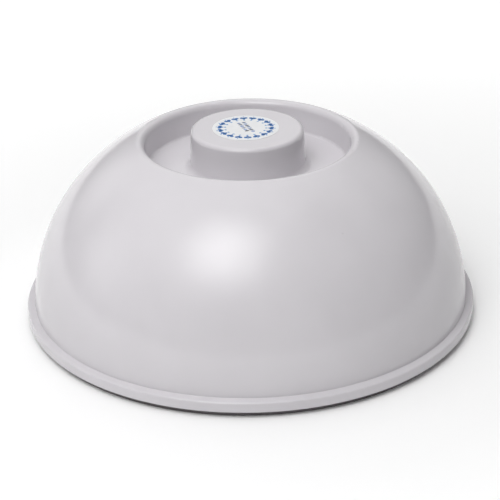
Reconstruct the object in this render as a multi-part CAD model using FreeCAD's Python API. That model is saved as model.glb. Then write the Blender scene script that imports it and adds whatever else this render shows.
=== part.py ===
"""Humidity dome tray: an opaque dome with a sunk grip, standing over the rim of a shallow tray.

Millimetres, +Z up. The origin is on the axis of the round object, at the level that the tray stands on.

The dome is one thin moulding. From its foot it has a skirt, a narrow sloping flange, a domed wall that
is a single arc in section, a rounded lip, a well sunk inside the lip and a hollow round knob that rises
from the well's floor. A round label lies on the knob. The tray's rim fits up inside the skirt and carries
the underside of the flange. A perforated riser plate lies on the tray's ribs, above the water, inside a
ring that keeps it in place. Outside that ring is the gutter that water off the dome runs into.
"""

import FreeCAD, Part
import math
import os

Vector = FreeCAD.Vector
AXIS_POINT = Vector(0, 0, 0)
AXIS = Vector(0, 0, 1)

# Dome, outside
RIM_RADIUS = 140.0  # outside of the skirt
FLANGE_WIDTH = 4.6  # from the skirt's outside in to the foot of the domed wall
FLANGE_FALL = 0.7  # how far the flange slopes down towards its edge
DOME_ARC_RADIUS = 118.0  # the domed wall's arc in section
WALL_UPRIGHT_Z = 5.6  # height at which that arc stands upright
WALL = 2.6  # thickness of the whole moulding
SKIRT_WALL = 2.6
SKIRT_DEPTH = 4.4  # from the flange's underside down to the skirt's foot
TRAY_SHOWS = 3.8  # how much of the tray's side shows below the skirt

# Lip, well and knob
WELL_RADIUS = 62.6  # the well's mouth, inside the lip
LIP_RADIUS = 3.8  # rounding of the lip
WELL_DEPTH = 18.2  # from the top of the lip down to the well's floor
WELL_DRAFT = 3.0  # degrees
KNOB_RADIUS = 34.3  # at the knob's top
KNOB_HEIGHT = 24.3  # above the well's floor
KNOB_DRAFT = 2.0  # degrees
WELL_FLOOR_FILLET = 1.8
KNOB_FOOT_FILLET = 4.0
KNOB_EDGE_RADIUS = 2.5
INNER_CORNER = 0.4  # smallest corner inside the moulding

# Small edges of the rim
FLANGE_EDGE_RADIUS = 1.1
SKIRT_FOOT_RADIUS = 0.7
CREASE_RADIUS = 0.5
CREASE_LAND = 1.0  # straight run between the crease and the start of the dome's arc
SEAT_CORNER = 0.8

# Label
LABEL_RADIUS = 20.2
LABEL_THICKNESS = 0.15
LABEL_SHIFT_X = -0.95  # stuck on by hand, a little off the knob's middle
LABEL_SHIFT_Y = 0.35

# Tray
RIM_CLEARANCE = 0.7  # between the tray's side and the inside of the skirt
TRAY_WALL = 2.4
TRAY_FLOOR = 2.2
TRAY_FLOOR_LIFT = 1.2  # gap under the floor
FOOT_RING_RADIUS = 66.0
FOOT_RING_WIDTH = 3.0
TRAY_EDGE = 0.6
BASIN_FILLET = 1.6
UNDERSIDE_FILLET = 0.5
RIB_HEIGHT = 2.2  # above the tray's floor
RIB_WIDTH = 1.6
RIB_ROOT = 0.6  # how far a rib's solid reaches down into the floor
CHANNEL_WIDTH = 9.0  # gaps that let water pass through the ribs
CHANNELS = 3  # straight channels across the whole floor
GUTTER_WIDTH = 4.7  # between the tray's wall and the ring round the riser plate
STOP_RING_WIDTH = 1.6

# Riser plate
RISER_CLEARANCE = 1.0  # between the plate's edge and the ring round it
RISER_THICKNESS = 2.0
RISER_RIM_WIDTH = 2.2
RISER_RIM_HEIGHT = 3.0  # above the plate, and what fingers lift it by
DRAIN_HOLE_RADIUS = 2.6
RING_PITCH = 17.0  # between one ring of holes and the next
FIRST_RING_HOLES = 6  # each ring has this many more than the one inside it
HOLE_MARGIN = 2.0  # least web between a hole and the plate's rim
EDGE_BREAK = 0.5

# Heights that follow
SKIRT_FOOT_Z = TRAY_SHOWS
SEAT_Z = SKIRT_FOOT_Z + SKIRT_DEPTH  # the flange's underside and the top of the tray's rim
CREASE_Z = SEAT_Z + WALL
FLANGE_EDGE_Z = CREASE_Z - FLANGE_FALL
TRAY_FLOOR_Z = TRAY_FLOOR_LIFT + TRAY_FLOOR
RIB_TOP_Z = TRAY_FLOOR_Z + RIB_HEIGHT

# Radii that follow
WALL_FOOT_RADIUS = RIM_RADIUS - FLANGE_WIDTH
SKIRT_INSIDE = RIM_RADIUS - SKIRT_WALL
TRAY_RADIUS = SKIRT_INSIDE - RIM_CLEARANCE
BASIN_RADIUS = TRAY_RADIUS - TRAY_WALL
STOP_RING_RADIUS = BASIN_RADIUS - GUTTER_WIDTH - STOP_RING_WIDTH
RISER_RADIUS = STOP_RING_RADIUS - RISER_CLEARANCE

# Centres of the two arcs of the dome's section
ARC_START_Z = CREASE_Z + CREASE_LAND
DOME_CENTRE_R = WALL_FOOT_RADIUS - math.sqrt(DOME_ARC_RADIUS**2 - (ARC_START_Z - WALL_UPRIGHT_Z) ** 2)
LIP_CENTRE_R = WELL_RADIUS + LIP_RADIUS
LIP_CENTRE_Z = WALL_UPRIGHT_Z + math.sqrt(
    (DOME_ARC_RADIUS - LIP_RADIUS) ** 2 - (LIP_CENTRE_R - DOME_CENTRE_R) ** 2
)
LIP_TOP_Z = LIP_CENTRE_Z + LIP_RADIUS
WELL_FLOOR_Z = LIP_TOP_Z - WELL_DEPTH
KNOB_TOP_Z = WELL_FLOOR_Z + KNOB_HEIGHT


def at(radius, height):
    """A point of a section, which lies in the XZ plane."""
    return Vector(radius, 0, height)


def line(start, end):
    return Part.LineSegment(start, end).toShape()


def arc(centre, radius, start_angle, end_angle):
    """An arc of a section, with its angles in radians from the outward direction."""
    points = [
        centre + Vector(math.cos(a), 0, math.sin(a)) * radius
        for a in (start_angle, (start_angle + end_angle) / 2, end_angle)
    ]
    return Part.Arc(*points).toShape()


def run(corners):
    """Straight runs through corners of (radius, height, rounding), with a tangent arc at each rounding."""
    points = [at(r, z) for r, z, _ in corners]
    edges = []
    here = points[0]
    for before, corner, after, (_, _, rounding) in zip(points, points[1:], points[2:], corners[1:]):
        if rounding > 0:
            back = (before - corner).normalize()
            onward = (after - corner).normalize()
            half = back.getAngle(onward) / 2
            middle = (back + onward).normalize()
            start = corner + back * (rounding / math.tan(half))
            end = corner + onward * (rounding / math.tan(half))
            crown = corner + middle * (rounding / math.sin(half) - rounding)
            edges += [line(here, start), Part.Arc(start, crown, end).toShape()]
            here = end
        else:
            edges.append(line(here, corner))
            here = corner
    return edges + [line(here, points[-1])]


def turned(edges):
    """The solid swept by a closed section turned about the axis."""
    face = Part.Face(Part.Wire(Part.__sortEdges__(edges)))
    return face.revolve(AXIS_POINT, AXIS, 360)


def ring(inner, outer, low, high):
    """A plain ring about the axis."""
    tube = Part.makeCylinder(outer, high - low, at(0, low))
    return tube.cut(Part.makeCylinder(inner, high - low, at(0, low)))


def upper_skin(depth, start_z):
    """Section of the dome's skin, depth under its outer face, from start_z over the lip to the axis.

    Returns its edges and its first and last points.
    """
    dome_centre = at(DOME_CENTRE_R, WALL_UPRIGHT_Z)
    dome_radius = DOME_ARC_RADIUS - depth
    start = math.asin((start_z - WALL_UPRIGHT_Z) / dome_radius)
    meet = math.atan2(LIP_CENTRE_Z - WALL_UPRIGHT_Z, LIP_CENTRE_R - DOME_CENTRE_R)
    draft = math.radians(WELL_DRAFT)
    lip_radius = LIP_RADIUS - depth
    edges = [
        arc(dome_centre, dome_radius, start, meet),
        arc(at(LIP_CENTRE_R, LIP_CENTRE_Z), lip_radius, meet, math.pi - draft),
    ]

    wall_top_r = LIP_CENTRE_R - lip_radius * math.cos(draft)
    wall_top_z = LIP_CENTRE_Z + lip_radius * math.sin(draft)
    floor_z = WELL_FLOOR_Z - depth
    wall_foot_r = wall_top_r - (wall_top_z - floor_z) * math.tan(draft)
    knob_top_r = KNOB_RADIUS - depth
    knob_foot_r = knob_top_r + KNOB_HEIGHT * math.tan(math.radians(KNOB_DRAFT))
    edges += run(
        [
            (wall_top_r, wall_top_z, 0),
            (wall_foot_r, floor_z, WELL_FLOOR_FILLET + depth),
            (knob_foot_r, floor_z, KNOB_FOOT_FILLET + depth),
            (knob_top_r, KNOB_TOP_Z - depth, max(KNOB_EDGE_RADIUS - depth, INNER_CORNER)),
            (0, KNOB_TOP_Z - depth, 0),
        ]
    )
    first = dome_centre + Vector(math.cos(start), 0, math.sin(start)) * dome_radius
    return edges, first, at(0, KNOB_TOP_Z - depth)


def dome_shell():
    """The dome: skirt, flange, domed wall, lip, well and hollow knob in one moulding of even thickness."""
    outer, outer_start, outer_end = upper_skin(0, ARC_START_Z)
    inner, inner_start, inner_end = upper_skin(WALL, SEAT_Z)
    rim = run(
        [
            (inner_start.x, SEAT_Z, 0),
            (SKIRT_INSIDE, SEAT_Z, SEAT_CORNER),
            (SKIRT_INSIDE, SKIRT_FOOT_Z, SKIRT_FOOT_RADIUS),
            (RIM_RADIUS, SKIRT_FOOT_Z, SKIRT_FOOT_RADIUS),
            (RIM_RADIUS, FLANGE_EDGE_Z, FLANGE_EDGE_RADIUS),
            (WALL_FOOT_RADIUS, CREASE_Z, CREASE_RADIUS),
            (outer_start.x, ARC_START_Z, 0),
        ]
    )
    return turned(outer + inner + rim + [line(outer_end, inner_end)])


def grip_label():
    """Round film label that lies on the flat top of the knob."""
    middle = Vector(LABEL_SHIFT_X, LABEL_SHIFT_Y, KNOB_TOP_Z)
    return Part.makeCylinder(LABEL_RADIUS, LABEL_THICKNESS, middle)


def tray_dish():
    """The tray without its ribs: floor, side wall that stands on the table, and a foot ring inside it."""
    foot_outer = FOOT_RING_RADIUS + FOOT_RING_WIDTH / 2
    foot_inner = FOOT_RING_RADIUS - FOOT_RING_WIDTH / 2
    section = run(
        [
            (0, TRAY_FLOOR_Z, 0),
            (BASIN_RADIUS, TRAY_FLOOR_Z, BASIN_FILLET),
            (BASIN_RADIUS, SEAT_Z, TRAY_EDGE),
            (TRAY_RADIUS, SEAT_Z, TRAY_EDGE),
            (TRAY_RADIUS, 0, TRAY_EDGE),
            (BASIN_RADIUS, 0, UNDERSIDE_FILLET),
            (BASIN_RADIUS, TRAY_FLOOR_LIFT, UNDERSIDE_FILLET),
            (foot_outer, TRAY_FLOOR_LIFT, UNDERSIDE_FILLET),
            (foot_outer, 0, UNDERSIDE_FILLET),
            (foot_inner, 0, UNDERSIDE_FILLET),
            (foot_inner, TRAY_FLOOR_LIFT, UNDERSIDE_FILLET),
            (0, TRAY_FLOOR_LIFT, 0),
        ]
    )
    return turned(section + [line(at(0, TRAY_FLOOR_LIFT), at(0, TRAY_FLOOR_Z))])


def hole_ring_radii():
    """Radii of the riser plate's rings of drain holes, which stay clear of its rim."""
    last = RISER_RADIUS - RISER_RIM_WIDTH - HOLE_MARGIN - DRAIN_HOLE_RADIUS
    return [RING_PITCH * n for n in range(1, int(last // RING_PITCH) + 1)]


def tray():
    """The tray, with ring ribs under the riser plate, between its rings of holes, and a ring round it."""
    root_z = TRAY_FLOOR_Z - RIB_ROOT
    rings = [
        ring(STOP_RING_RADIUS, STOP_RING_RADIUS + STOP_RING_WIDTH, root_z, RIB_TOP_Z + RISER_THICKNESS)
    ]
    for radius in [0] + hole_ring_radii():
        rib_inner = radius + (RING_PITCH - RIB_WIDTH) / 2
        if rib_inner + RIB_WIDTH < RISER_RADIUS:
            rings.append(ring(rib_inner, rib_inner + RIB_WIDTH, root_z, RIB_TOP_Z))
    channels = []
    for n in range(CHANNELS):
        corner = Vector(-BASIN_RADIUS, -CHANNEL_WIDTH / 2, root_z)
        channel = Part.makeBox(2 * BASIN_RADIUS, CHANNEL_WIDTH, SEAT_Z, corner)
        channel.rotate(AXIS_POINT, AXIS, 180.0 * n / CHANNELS)
        channels.append(channel)
    return tray_dish().fuse([each.cut(channels) for each in rings]).removeSplitter()


def riser_plate():
    """Perforated plate with a raised rim, which holds pots above the water."""
    top = RIB_TOP_Z + RISER_THICKNESS
    rim_inner = RISER_RADIUS - RISER_RIM_WIDTH
    section = run(
        [
            (0, RIB_TOP_Z, 0),
            (RISER_RADIUS, RIB_TOP_Z, EDGE_BREAK),
            (RISER_RADIUS, top + RISER_RIM_HEIGHT, EDGE_BREAK),
            (rim_inner, top + RISER_RIM_HEIGHT, EDGE_BREAK),
            (rim_inner, top, EDGE_BREAK),
            (0, top, 0),
        ]
    )
    plate = turned(section + [line(at(0, top), at(0, RIB_TOP_Z))])
    holes = []
    for n, radius in enumerate(hole_ring_radii(), start=1):
        count = FIRST_RING_HOLES * n
        for k in range(count):
            turn = 2 * math.pi * k / count
            foot = Vector(radius * math.cos(turn), radius * math.sin(turn), RIB_TOP_Z)
            holes.append(Part.makeCylinder(DRAIN_HOLE_RADIUS, RISER_THICKNESS, foot))
    return plate.cut(holes)


PARTS = {
    "dome_shell": dome_shell,
    "grip_label": grip_label,
    "tray": tray,
    "riser_plate": riser_plate,
}


def main():
    os.makedirs("parts", exist_ok=True)
    for name, make in PARTS.items():
        shape = make()
        shape.exportStep(f"parts/{name}.step")
        print(f"{name}: {len(shape.Solids)} solid, {shape.Volume / 1000:.1f} cm3, valid {shape.isValid()}")


main()
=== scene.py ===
"""Looks of the humidity dome tray: an opaque dome with a sunk grip and a round label, over a shallow tray.

The CAD model carries the shapes. This script gives every piece its material, adds the print on the label
and the small marks that moulding leaves, and sets up the floor, the lights and the camera.
"""

import math
import random

import bmesh
import bpy
from mathutils import Matrix, Quaternion, Vector
from mathutils.bvhtree import BVHTree


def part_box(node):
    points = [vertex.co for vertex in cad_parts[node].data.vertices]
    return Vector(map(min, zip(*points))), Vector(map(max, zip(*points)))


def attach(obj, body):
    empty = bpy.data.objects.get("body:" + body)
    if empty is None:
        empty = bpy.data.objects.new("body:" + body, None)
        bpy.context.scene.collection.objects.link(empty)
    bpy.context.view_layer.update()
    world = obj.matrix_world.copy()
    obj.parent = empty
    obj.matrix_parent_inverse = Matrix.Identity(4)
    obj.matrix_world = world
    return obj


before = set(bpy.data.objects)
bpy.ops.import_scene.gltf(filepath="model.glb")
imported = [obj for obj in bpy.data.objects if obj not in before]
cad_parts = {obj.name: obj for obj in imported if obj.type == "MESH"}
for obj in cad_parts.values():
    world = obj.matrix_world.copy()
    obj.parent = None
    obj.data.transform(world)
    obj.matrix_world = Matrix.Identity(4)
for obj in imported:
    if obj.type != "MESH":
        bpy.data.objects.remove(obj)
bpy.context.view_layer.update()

MM = 0.001

# Camera, round the foot of the object's axis
CAMERA_DISTANCE = 1.0012
CAMERA_ELEVATION = 25.93
CAMERA_ROLL = -1.12
CAMERA_AIM = Vector((0.0002, 0, 0.0368))
LENS_MM = 115.1
SENSOR_MM = 36.0

# Floor and world. The floor glows faintly, more with the distance from the object, to stay pale.
WORLD_STRENGTH = 0.13
FLOOR_HALF = 6.0
FLOOR_WHITE = 0.95
FLOOR_ROUGHNESS = 0.6
GLOW_BESIDE, GLOW_AROUND, GLOW_FAR = 0.03, 0.32, 0.9
GLOW_NEAR_REACH = (0.2, 0.6)  # from beside the object to around it
GLOW_FAR_REACH = (0.8, 2.4)  # from around it to the floor's far parts

# Round softboxes, all at one distance and aimed at one spot. Azimuth 0 is on the camera's side,
# and grows towards +X.
LIGHT_DISTANCE = 1.6
LIGHT_AIM = Vector((0, 0, 0.06))
SOFTBOXES = (
    # name, azimuth, elevation, size, power
    ("key", -20, 56, 1.8, 48),
    ("fill", -45, 50, 2.0, 10),
    ("top", 0, 88, 2.4, 17.5),
    ("back", 180, 50, 2.0, 10.6),
    ("back_low", 180, 20, 1.2, 1.9),
    ("left_high", -90, 50, 2.0, 4.6),
    ("left", -90, 20, 1.2, 3.8),
    ("back_left_high", -135, 50, 2.0, 4.9),
    ("back_left", -135, 20, 1.2, 2.2),
    ("back_right_high", 135, 50, 2.0, 6.3),
    ("back_right", 135, 20, 1.2, 1.2),
)

# Print on the label
INK_THICKNESS = 0.02 * MM
SPRIGS = 18
SPRIG_RING_RADIUS = 15.7 * MM
SPRIG_FIRST_ANGLE = 74.0
LEAF_LENGTH = 2.5 * MM
LEAF_WIDTH = 2.5 * MM
LEAF_SPLAY = 78.0
BUD_LENGTH = 3.6 * MM
BUD_WIDTH = 2.4 * MM
BUD_INSET = BUD_LENGTH * 0.2  # from the ring in to the bud's middle
TIP_LENGTH = 1.3 * MM
TIP_WIDTH = 1.0 * MM
TIP_OUTSET = BUD_LENGTH * 0.4  # from the ring out to the tip's foot
DROP_LENGTH = 1.4 * MM
DROP_WIDTH = 1.5 * MM
DROP_INSET = BUD_LENGTH * 0.7  # from the ring in to the drop's foot
DASH_TILT = -69.0
DASH_HEIGHT = 2.4 * MM
DASH_GAP = 0.7 * MM
DASH_LENGTHS = [length * MM for length in (2.1, 1.3, 2.8, 1.6, 2.4, 1.2, 1.9)]
DASH_ROWS = ((-1.3 * MM, 17.5 * MM), (2.1 * MM, 19.5 * MM))  # place across the row, and length
DASH_ROW_SHIFT = 3  # how many lengths further on each row starts

# Marks of moulding
PIN_MARK_RADIUS = 3.0 * MM
PIN_LINE_WIDTH = 0.24 * MM
PIN_LINE_HEIGHT = 0.07 * MM
PIN_LINE_STEPS = (40, 6)  # around the mark, and over the line
GATE_RADIUS = 1.6 * MM
GATE_HEIGHT = 0.35 * MM
GATE_PEAK = 1.1  # height of its middle, as a share of the gate's
GATE_STEPS = (5, 28)  # rings, and points around each
GATE_TORN = (-0.18, 0.3)  # least and most height torn off or left, as a share of the gate's
GATE_WAVER = 0.06  # how far a ring's radius wavers, as a share
ABOVE, BELOW = 1, -1

# Body and material slot of each CAD node that carries marks
DOME_HOME = ("dome", "dome_plastic")
TRAY_HOME = ("tray", "tray_plastic")
RISER_HOME = ("riser", "riser_plastic")


def srgb(red, green, blue):
    """Colour given as 0 to 255 on a screen, as linear RGBA."""
    parts = [channel / 255 for channel in (red, green, blue)]
    return (*[c / 12.92 if c <= 0.04045 else ((c + 0.055) / 1.055) ** 2.4 for c in parts], 1.0)


def grey(level):
    """Grey given as a linear level."""
    return (level, level, level, 1)


class Shader:
    """A material's node tree, with short ways to add and join nodes."""

    def __init__(self, name):
        self.material = bpy.data.materials.new(name)
        self.material.use_nodes = True
        self.nodes = self.material.node_tree.nodes
        self.links = self.material.node_tree.links
        self.surface = next(node for node in self.nodes if node.type == "BSDF_PRINCIPLED")

    def join(self, value, socket):
        """Links a socket into another, or sets a plain value on it."""
        if isinstance(value, bpy.types.NodeSocket):
            self.links.new(value, socket)
        else:
            socket.default_value = value

    def add(self, kind, inputs=None, **settings):
        """Adds a node with its settings, and links or sets its inputs."""
        node = self.nodes.new(kind)
        for key, value in settings.items():
            setattr(node, key, value)
        for key, value in (inputs or {}).items():
            self.join(value, node.inputs[key])
        return node

    def set(self, **values):
        """Sets or links inputs of the surface shader; an underscore stands for a space."""
        for key, value in values.items():
            self.join(value, self.surface.inputs[key.replace("_", " ")])

    def place(self, seed=0.0, squeeze=(1.0, 1.0, 1.0)):
        """Place on the object in metres, squeezed to stretch what is drawn, and shifted by a seed."""
        spot = self.add("ShaderNodeTexCoord").outputs["Object"]
        shift = (seed, seed * 1.7, seed * 0.3)
        return self.add(
            "ShaderNodeVectorMath", {0: spot, 1: squeeze, 2: shift}, operation="MULTIPLY_ADD"
        ).outputs[0]

    def noise(self, size, detail=3.0, roughness=0.55, seed=0.0, squeeze=(1.0, 1.0, 1.0)):
        """Noise with features of about the given size in metres."""
        inputs = {
            "Vector": self.place(seed, squeeze),
            "Scale": 1 / size,
            "Detail": detail,
            "Roughness": roughness,
        }
        return self.add("ShaderNodeTexNoise", inputs).outputs["Fac"]

    def spread(self, value, low, high, to_low=0.0, to_high=1.0):
        """Maps low..high of a value to to_low..to_high, held at the ends."""
        return self.add(
            "ShaderNodeMapRange",
            {"Value": value, "From Min": low, "From Max": high, "To Min": to_low, "To Max": to_high},
        ).outputs["Result"]

    def math(self, operation, first, second):
        return self.add("ShaderNodeMath", {0: first, 1: second}, operation=operation).outputs[0]

    def mix(self, share, first, second):
        """Colour mixed from two by the share of the second."""
        node = self.add("ShaderNodeMix", data_type="RGBA")
        for index, value in ((0, share), (6, first), (7, second)):
            self.join(value, node.inputs[index])
        return node.outputs[2]

    def bump(self, height, distance, strength=1.0, after=None):
        inputs = {"Height": height, "Distance": distance, "Strength": strength}
        if after is not None:
            inputs["Normal"] = after
        return self.add("ShaderNodeBump", inputs).outputs["Normal"]

    def specks(self, cell, radius, share, seed):
        """1 inside small round specks, one in a share of the cells of a random lattice, and 0 elsewhere."""
        lattice = self.add(
            "ShaderNodeTexVoronoi", {"Vector": self.place(seed), "Scale": 1 / cell}, feature="F1"
        )
        inside = self.spread(lattice.outputs["Distance"], radius / cell, 0.6 * radius / cell)
        hue = self.add("ShaderNodeSeparateColor", {"Color": lattice.outputs["Color"]}).outputs[0]
        chosen = self.math("LESS_THAN", hue, share)
        return self.math("MULTIPLY", inside, chosen)

    def hairlines(self, length, width, seed):
        """1 on sparse fine scratches of about the given length and width, and 0 elsewhere."""
        thin = width / length
        along = self.noise(width, 0.0, 0.5, seed, squeeze=(thin, 1.0, thin))
        across = self.noise(width, 0.0, 0.5, seed + 4.0, squeeze=(1.0, thin, thin))
        patches = self.spread(self.noise(length, 2.0, 0.5, seed + 9.0), 0.5, 0.7)
        lines = self.math("MAXIMUM", *[self.spread(each, 0.72, 0.8) for each in (along, across)])
        return self.math("MULTIPLY", lines, patches)


def dome_material():
    """Glossy moulded plastic: pale lavender white, with orange peel, scuffs and a few specks in the colour."""
    s = Shader("dome_plastic")
    cloud = s.spread(s.noise(45 * MM, detail=2.0), 0.35, 0.65)
    colour = s.mix(cloud, srgb(207, 204, 208), srgb(210, 207, 211))
    dark_specks = s.specks(cell=9 * MM, radius=0.28 * MM, share=0.10, seed=2.0)
    colour = s.mix(dark_specks, colour, srgb(150, 146, 148))
    pale_specks = s.specks(cell=14 * MM, radius=0.35 * MM, share=0.08, seed=6.0)
    colour = s.mix(pale_specks, colour, srgb(232, 230, 233))
    peel = s.noise(2.6 * MM, detail=2.0, seed=3.0)
    grain = s.noise(0.35 * MM, detail=2.0, seed=7.0)
    scuffs = s.spread(s.noise(9 * MM, detail=5.0, roughness=0.7, seed=5.0), 0.5, 0.78, to_high=0.06)
    scratches = s.math("MULTIPLY", s.hairlines(length=16 * MM, width=0.22 * MM, seed=8.0), 0.05)
    normal = s.bump(grain, 0.003 * MM, after=s.bump(peel, 0.010 * MM))
    s.set(
        Base_Color=colour,
        Roughness=s.math("ADD", s.math("ADD", scuffs, scratches), 0.13),
        IOR=1.49,
        Normal=normal,
    )
    return s.material


def label_material():
    """Satin white film, with the fine tooth of its coating."""
    s = Shader("label_film")
    cloud = s.spread(s.noise(5 * MM), 0.35, 0.65)
    s.set(
        Base_Color=s.mix(cloud, srgb(224, 225, 226), srgb(228, 229, 230)),
        Roughness=s.spread(s.noise(2 * MM, detail=4.0, seed=2.0), 0.3, 0.7, 0.3, 0.4),
        Normal=s.bump(s.noise(0.12 * MM, detail=2.0, seed=5.0), 0.0015 * MM),
    )
    return s.material


def ink_material(name, dark, light, seed):
    """Printed ink, a little uneven where the film took less of it."""
    s = Shader(name)
    uneven = s.spread(s.noise(0.5 * MM, detail=4.0, roughness=0.65, seed=seed), 0.35, 0.7)
    s.set(
        Base_Color=s.mix(uneven, dark, light),
        Roughness=s.spread(s.noise(0.4 * MM, detail=2.0, seed=seed + 2.0), 0.3, 0.7, 0.34, 0.46),
        Normal=s.bump(s.noise(0.09 * MM, detail=2.0, seed=seed + 5.0), 0.001 * MM),
    )
    return s.material


def grained_material(name, dark, light, worn, seed):
    """Moulded plastic with a fine eroded grain, paler and smoother where it has been rubbed."""
    s = Shader(name)
    cloud = s.spread(s.noise(30 * MM, seed=seed), 0.35, 0.65)
    grain = s.noise(0.45 * MM, detail=4.0, roughness=0.6, seed=seed + 1.0)
    tops = s.spread(grain, 0.38, 0.62)
    colour = s.mix(cloud, dark, light)
    rubbed = s.spread(
        s.noise(12 * MM, detail=6.0, roughness=0.75, seed=seed + 2.0), 0.6, 0.82, to_high=0.35
    )
    rubbed = s.math("MULTIPLY", rubbed, tops)
    scratches = s.math("MULTIPLY", s.hairlines(length=12 * MM, width=0.2 * MM, seed=seed + 3.0), 0.5)
    colour = s.mix(s.math("MAXIMUM", rubbed, scratches), colour, worn)
    smoother = s.math("MULTIPLY", rubbed, 0.2)
    s.set(
        Base_Color=colour,
        Roughness=s.math("SUBTRACT", s.spread(grain, 0.3, 0.7, 0.58, 0.46), smoother),
        IOR=1.49,
        Normal=s.bump(grain, 0.05 * MM, strength=0.8),
    )
    return s.material


def mesh_from(name, bm, smooth):
    """The mesh of a finished BMesh, with its faces turned outwards."""
    mesh = bpy.data.meshes.new(name)
    bmesh.ops.recalc_face_normals(bm, faces=bm.faces)
    bm.to_mesh(mesh)
    bm.free()
    if smooth:
        for polygon in mesh.polygons:
            polygon.use_smooth = True
    return mesh


def link(name, data):
    thing = bpy.data.objects.new(name, data)
    bpy.context.scene.collection.objects.link(thing)
    return thing


def add_piece(name, mesh, body, slot, material):
    """A piece of the object that moves with a CAD body."""
    piece = link(name, mesh)
    mesh.materials.append(material)
    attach(piece, body)


class Surface:
    """The surface of a CAD node, to set small things down on."""

    def __init__(self, node):
        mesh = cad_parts[node].data
        self.low, self.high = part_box(node)
        self.tree = BVHTree.FromPolygons(
            [vertex.co for vertex in mesh.vertices], [polygon.vertices for polygon in mesh.polygons]
        )

    def height(self, x, y, side):
        """Height of the first face met at (x, y), coming from above or from below."""
        start = self.high.z + MM if side == ABOVE else self.low.z - MM
        place, _, _, _ = self.tree.ray_cast(Vector((x, y, start)), Vector((0, 0, -side)))
        return place.z


def leaf(length, width, steps=10):
    """Outline of a leaf from (0, 0) along +X, pointed at both ends."""
    half = [
        (length * step / steps, width / 2 * math.sin(math.pi * step / steps) ** 0.8)
        for step in range(steps + 1)
    ]
    return half + [(x, -y) for x, y in half[-2:0:-1]]


def diamond(length, width):
    """Outline of a diamond centred on (0, 0), with its length along X."""
    return [(length / 2, 0), (0, width / 2), (-length / 2, 0), (0, -width / 2)]


def bar(length, height, steps=6):
    """Outline of a bar with round ends, centred on (0, 0)."""
    points = []
    for side in (1, -1):
        middle, radius = side * (length - height) / 2, side * height / 2
        for step in range(steps + 1):
            turn = math.pi * (step / steps - 0.5)
            points.append((middle + radius * math.cos(turn), radius * math.sin(turn)))
    return points


def moved(outline, angle=0.0, shift=(0.0, 0.0)):
    """An outline turned by degrees about (0, 0), then shifted."""
    turn = Matrix.Rotation(math.radians(angle), 2)
    return [turn @ Vector(point) + Vector(shift) for point in outline]


def direction(angle):
    """The way that an angle in degrees points in the plane."""
    turn = math.radians(angle)
    return Vector((math.cos(turn), math.sin(turn)))


def printed(name, outlines, centre, material):
    """Thin prints of closed outlines on top of the label, placed from its centre."""
    bm = bmesh.new()
    for outline in outlines:
        low = [bm.verts.new((centre.x + x, centre.y + y, centre.z)) for x, y in outline]
        high = [bm.verts.new((v.co.x, v.co.y, v.co.z + INK_THICKNESS)) for v in low]
        bm.faces.new(high)
        bm.faces.new(low[::-1])
        for a, b, c, d in zip(low, low[1:] + low[:1], high[1:] + high[:1], high):
            bm.faces.new((a, b, c, d))
    add_piece(name, mesh_from(name, bm, smooth=False), "dome", "label_film", material)


def sprig_outlines():
    """A ring of sprigs, each two leaves and a bud, and the tips and drops at their ends."""
    sprigs, drops = [], []
    for n in range(SPRIGS):
        angle = SPRIG_FIRST_ANGLE + 360 / SPRIGS * n
        out = direction(angle)
        for side in (-1, 1):
            foot = out * SPRIG_RING_RADIUS
            sprigs.append(moved(leaf(LEAF_LENGTH, LEAF_WIDTH), angle + side * LEAF_SPLAY, foot))
        bud = out * (SPRIG_RING_RADIUS - BUD_INSET)
        sprigs.append(moved(diamond(BUD_LENGTH, BUD_WIDTH), angle, bud))
        tip = out * (SPRIG_RING_RADIUS + TIP_OUTSET)
        drops.append(moved(leaf(TIP_LENGTH, TIP_WIDTH), angle, tip))
        drop = out * (SPRIG_RING_RADIUS - DROP_INSET)
        drops.append(moved(leaf(DROP_LENGTH, DROP_WIDTH), angle + 180, drop))
    return sprigs, drops


def dash_outlines():
    """Two rows of plain dashes, where a maker's lines would be."""
    dashes = []
    way = direction(DASH_TILT)
    for row, (across, row_length) in enumerate(DASH_ROWS):
        start = -row_length / 2
        n = DASH_ROW_SHIFT * row
        while start < row_length / 2 - DASH_HEIGHT:
            length = min(DASH_LENGTHS[n % len(DASH_LENGTHS)], row_length / 2 - start)
            spot = Vector((across, 0)) + way * (start + length / 2)
            dashes.append(moved(bar(length, DASH_HEIGHT), DASH_TILT, spot))
            start += length + DASH_GAP
            n += 1
    return dashes


def print_label():
    low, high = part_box("grip_label")
    centre = Vector(((low.x + high.x) / 2, (low.y + high.y) / 2, high.z))
    blue = ink_material("label_ink", srgb(14, 92, 166), srgb(40, 120, 186), 1.0)
    pale = ink_material("label_ink_pale", srgb(66, 132, 192), srgb(104, 160, 208), 3.0)
    grey_blue = ink_material("label_ink_grey", srgb(136, 154, 196), srgb(164, 180, 212), 7.0)
    sprigs, drops = sprig_outlines()
    printed("label_sprigs", sprigs, centre, blue)
    printed("label_drops", drops, centre, pale)
    printed("label_dashes", dash_outlines(), centre, grey_blue)


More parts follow.
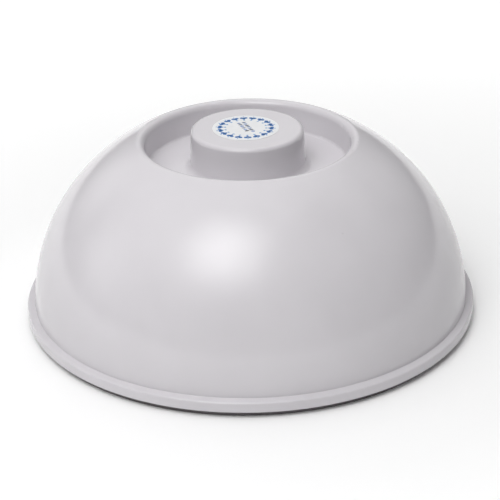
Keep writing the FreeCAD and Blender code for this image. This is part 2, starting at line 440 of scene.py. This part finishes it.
def pin_marks(name, node, home, material, ring_radius, count, side, first=0.0):
    """Fine round lines where the moulding's ejector pins met the surface, in a ring about the axis."""
    surface = Surface(node)
    bm = bmesh.new()
    around, over = PIN_LINE_STEPS
    for k in range(count):
        turn = math.radians(first + 360 * k / count)
        x, y = ring_radius * math.cos(turn), ring_radius * math.sin(turn)
        base = surface.height(x, y, side)
        rows = []
        for i in range(around):
            a = 2 * math.pi * i / around
            row = []
            for j in range(over + 1):
                b = math.pi * j / over
                r = PIN_MARK_RADIUS + PIN_LINE_WIDTH / 2 * math.cos(b)
                lift = PIN_LINE_HEIGHT * math.sin(b)
                row.append(bm.verts.new((x + r * math.cos(a), y + r * math.sin(a), base + side * lift)))
            rows.append(row)
        for row, after in zip(rows, rows[1:] + rows[:1]):
            for j in range(over):
                bm.faces.new((row[j], row[j + 1], after[j + 1], after[j]))
            bm.faces.new((row[over], row[0], after[0], after[over]))
    add_piece(name, mesh_from(name, bm, smooth=True), *home, material)


def gate_mark(name, node, home, material, side, seed):
    """The small torn stub left on the axis where the sprue was broken off."""
    chance = random.Random(seed)
    base = Surface(node).height(0.0, 0.0, side)
    rings, around = GATE_STEPS
    bm = bmesh.new()
    rows = []
    for ring in range(rings + 1):
        share = 1 - ring / (rings + 1)
        lift = GATE_HEIGHT * (1 - share**4)
        row = []
        for k in range(around):
            a = 2 * math.pi * k / around
            torn = chance.uniform(*GATE_TORN) * GATE_HEIGHT if ring > 1 else 0.0
            waver = chance.uniform(-GATE_WAVER, GATE_WAVER) if ring else 0.0
            r = GATE_RADIUS * share * (1 + waver)
            row.append(bm.verts.new((r * math.cos(a), r * math.sin(a), base + side * (lift + torn))))
        rows.append(row)
    for row, after in zip(rows, rows[1:]):
        for k in range(around):
            bm.faces.new((row[k], row[(k + 1) % around], after[(k + 1) % around], after[k]))
    top = bm.verts.new((0.0, 0.0, base + side * GATE_HEIGHT * GATE_PEAK))
    for k in range(around):
        bm.faces.new((rows[-1][k], rows[-1][(k + 1) % around], top))
    bm.faces.new(rows[0])
    add_piece(name, mesh_from(name, bm, smooth=True), *home, material)


def dress_cad_nodes():
    """Gives each CAD node its material, and returns the materials by node."""
    materials = {
        "dome_shell": dome_material(),
        "grip_label": label_material(),
        "tray": grained_material(
            "tray_plastic", srgb(94, 90, 92), srgb(101, 97, 99), srgb(136, 133, 135), 11.0
        ),
        "riser_plate": grained_material(
            "riser_plastic", srgb(127, 128, 129), srgb(135, 136, 137), srgb(171, 172, 173), 17.0
        ),
    }
    for node, material in materials.items():
        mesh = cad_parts[node].data
        mesh.materials.clear()
        mesh.materials.append(material)
    return materials


def mark_mouldings(materials):
    dome, tray, riser = (materials[node] for node in ("dome_shell", "tray", "riser_plate"))
    pin_marks(
        "dome_pin_marks", "dome_shell", DOME_HOME, dome,
        ring_radius=47 * MM, count=8, side=BELOW, first=22.5,
    )
    gate_mark("dome_gate_mark", "dome_shell", DOME_HOME, dome, side=BELOW, seed=3)
    pin_marks(
        "tray_pin_marks_outer", "tray", TRAY_HOME, tray,
        ring_radius=104 * MM, count=12, side=BELOW, first=15.0,
    )
    pin_marks(
        "tray_pin_marks_inner", "tray", TRAY_HOME, tray,
        ring_radius=40 * MM, count=6, side=BELOW,
    )
    gate_mark("tray_gate_mark", "tray", TRAY_HOME, tray, side=BELOW, seed=5)
    gate_mark("riser_gate_mark", "riser_plate", RISER_HOME, riser, side=ABOVE, seed=8)


def look_along(thing, back, roll=0.0):
    """Turns a camera or light to face against a direction, then rolls it by degrees."""
    thing.rotation_mode = "QUATERNION"
    thing.rotation_quaternion = back.to_track_quat("Z", "Y") @ Quaternion((0, 0, 1), math.radians(roll))


def make_camera():
    camera = link("camera", bpy.data.cameras.new("camera"))
    tilt = math.radians(CAMERA_ELEVATION)
    back = Vector((0, -math.cos(tilt), math.sin(tilt)))
    camera.location = CAMERA_AIM + back * CAMERA_DISTANCE
    look_along(camera, back, CAMERA_ROLL)
    camera.data.lens = LENS_MM
    camera.data.sensor_width = SENSOR_MM
    bpy.context.scene.camera = camera


def fade_light(data):
    """Makes a round light fade smoothly from its middle to its edge, as a softbox does."""
    data.use_nodes = True
    tree = data.node_tree
    emission = next(node for node in tree.nodes if node.type == "EMISSION")
    across = tree.nodes.new("ShaderNodeNewGeometry").outputs["Parametric"]
    offset = tree.nodes.new("ShaderNodeVectorMath")
    offset.operation = "DISTANCE"
    offset.inputs[1].default_value = (0.5, 0.5, 0.0)
    tree.links.new(across, offset.inputs[0])
    fade = tree.nodes.new("ShaderNodeMapRange")
    fade.interpolation_type = "SMOOTHSTEP"
    for key, value in (("From Min", 0.5), ("From Max", 0.0), ("To Min", 0.0), ("To Max", 1.0)):
        fade.inputs[key].default_value = value
    tree.links.new(offset.outputs["Value"], fade.inputs["Value"])
    tree.links.new(fade.outputs["Result"], emission.inputs["Strength"])


def soft_light(name, azimuth, elevation, size, power):
    """A round softbox aimed at the object."""
    data = bpy.data.lights.new(name, "AREA")
    data.shape = "DISK"
    data.size = size
    data.energy = power
    fade_light(data)
    light = link(name, data)
    a, e = math.radians(azimuth), math.radians(elevation)
    way = Vector((math.sin(a) * math.cos(e), -math.cos(a) * math.cos(e), math.sin(e)))
    light.location = LIGHT_AIM + way * LIGHT_DISTANCE
    look_along(light, way)


def floor_material():
    """Pale matt floor that glows faintly, more with the distance from the object."""
    s = Shader("floor")
    away = s.add("ShaderNodeVectorMath", {0: s.place()}, operation="LENGTH").outputs["Value"]
    glow = s.mix(s.spread(away, *GLOW_NEAR_REACH), grey(GLOW_BESIDE), grey(GLOW_AROUND))
    glow = s.mix(s.spread(away, *GLOW_FAR_REACH), glow, grey(GLOW_FAR))
    s.set(Base_Color=grey(FLOOR_WHITE), Roughness=FLOOR_ROUGHNESS, Emission_Color=glow, Emission_Strength=1)
    return s.material


def make_stage():
    world = bpy.data.worlds.new("studio")
    bpy.context.scene.world = world
    world.use_nodes = True
    background = world.node_tree.nodes["Background"]
    background.inputs["Color"].default_value = grey(1)
    background.inputs["Strength"].default_value = WORLD_STRENGTH
    bpy.context.scene.view_settings.view_transform = "Standard"
    mesh = bpy.data.meshes.new("floor")
    corners = [(x * FLOOR_HALF, y * FLOOR_HALF, 0) for x, y in ((-1, -1), (1, -1), (1, 1), (-1, 1))]
    mesh.from_pydata(corners, [], [(0, 1, 2, 3)])
    mesh.materials.append(floor_material())
    floor = link("floor", mesh)
    for softbox in SOFTBOXES:
        soft_light(*softbox)


make_camera()
make_stage()
mark_mouldings(dress_cad_nodes())
print_label()
